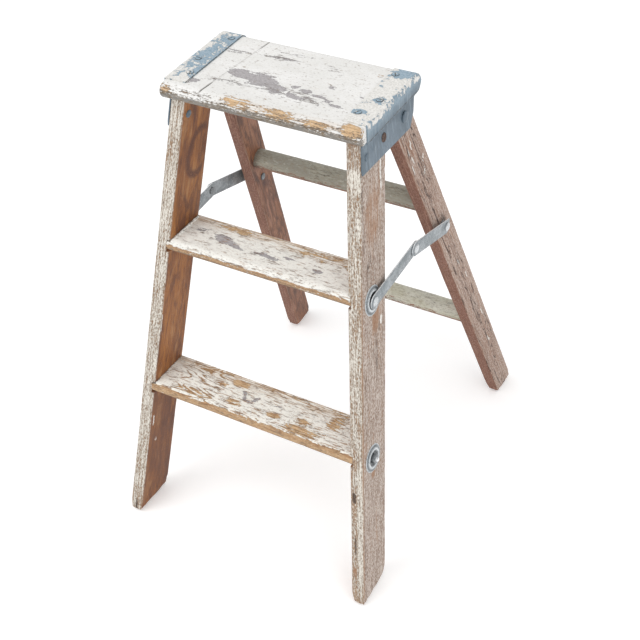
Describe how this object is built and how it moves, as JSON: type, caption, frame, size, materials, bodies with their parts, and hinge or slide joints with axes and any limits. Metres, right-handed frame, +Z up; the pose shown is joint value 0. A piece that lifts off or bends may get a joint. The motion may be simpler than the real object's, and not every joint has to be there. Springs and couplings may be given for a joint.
{
  "type": "step ladder",
  "caption": "Small folding wooden step ladder with a top board, flat treads, round rear rungs, steel brackets and folding spreaders, its paint worn.",
  "frame": {"origin": "on the floor, at the middle of the open ladder's footprint", "axes": "+Z up; the treads face -Y and the rear frame stands towards +Y; +X runs across the ladder to its right end as seen from the front"},
  "size_m": [0.3712, 0.482, 0.613],
  "materials": {
    "white_paint": "worn white paint over wood",
    "blue_paint": "chipped blue-grey paint on pressed steel",
    "front_wood": "weathered, speckled with old paint",
    "rear_wood": "weathered and cracked",
    "rung_wood": "grey-green worn paint over wood",
    "galvanised": "dull galvanised",
    "rusty_steel": "rusted"
  },
  "bodies": {
    "front_frame": {"top_board": "white_paint", "bracket_left": "blue_paint", "bracket_right": "blue_paint", "top_screws": "blue_paint", "bracket_rivets": "blue_paint", "bracket_screws": "rusty_steel", "hinge_pins": "blue_paint", "hinge_washers": "galvanised", "front_rail_left": "front_wood", "front_rail_right": "front_wood", "upper_tread": "white_paint", "lower_tread": "white_paint", "tread_nails": "rusty_steel", "upper_truss_rod": "galvanised", "lower_truss_rod": "galvanised", "upper_rod_washers": "galvanised", "lower_rod_washers": "galvanised", "lower_rod_nuts": "galvanised"},
    "rear_frame": {"rear_rail_left": "rear_wood", "rear_rail_right": "rear_wood", "upper_rung": "rung_wood", "lower_rung": "rung_wood", "rung_nails": "rusty_steel", "spreader_rivets": "galvanised", "spreader_spacers": "galvanised"},
    "left_front_link": {"front_link_left": "galvanised", "link_tail_left": "galvanised"},
    "left_rear_link": {"rear_link_left": "galvanised", "mid_rivet_left": "galvanised"},
    "right_front_link": {"front_link_right": "galvanised", "link_tail_right": "galvanised"},
    "right_rear_link": {"rear_link_right": "galvanised", "mid_rivet_right": "galvanised"}
  },
  "joints": [
    {"name": "fold", "type": "hinge", "parent": "front_frame", "child": "rear_frame", "pos_m": [0, 0.01266, 0.56668], "axis": [-1, 0, 0], "range_deg": [0, 36]},
    {"name": "left_front_link_pivot", "type": "hinge", "parent": "front_frame", "child": "left_front_link", "pos_m": [-0.146, -0.11231, 0.399], "axis": [1, 0, 0], "range_deg": [0, 37.7]},
    {"name": "left_rear_link_pivot", "type": "hinge", "parent": "rear_frame", "child": "left_rear_link", "pos_m": [-0.146, 0.07912, 0.37751], "axis": [-1, 0, 0], "range_deg": [0, 44.7]},
    {"name": "right_front_link_pivot", "type": "hinge", "parent": "front_frame", "child": "right_front_link", "pos_m": [0.146, -0.11231, 0.399], "axis": [1, 0, 0], "range_deg": [0, 37.7]},
    {"name": "right_rear_link_pivot", "type": "hinge", "parent": "rear_frame", "child": "right_rear_link", "pos_m": [0.146, 0.07912, 0.37751], "axis": [-1, 0, 0], "range_deg": [0, 44.7]}
  ],
  "couplings": [
    {"joint": "left_front_link_pivot", "follows": "fold", "ratio": 1.0461},
    {"joint": "left_rear_link_pivot", "follows": "fold", "ratio": 1.2403},
    {"joint": "right_front_link_pivot", "follows": "fold", "ratio": 1.0461},
    {"joint": "right_rear_link_pivot", "follows": "fold", "ratio": 1.2403}
  ]
}
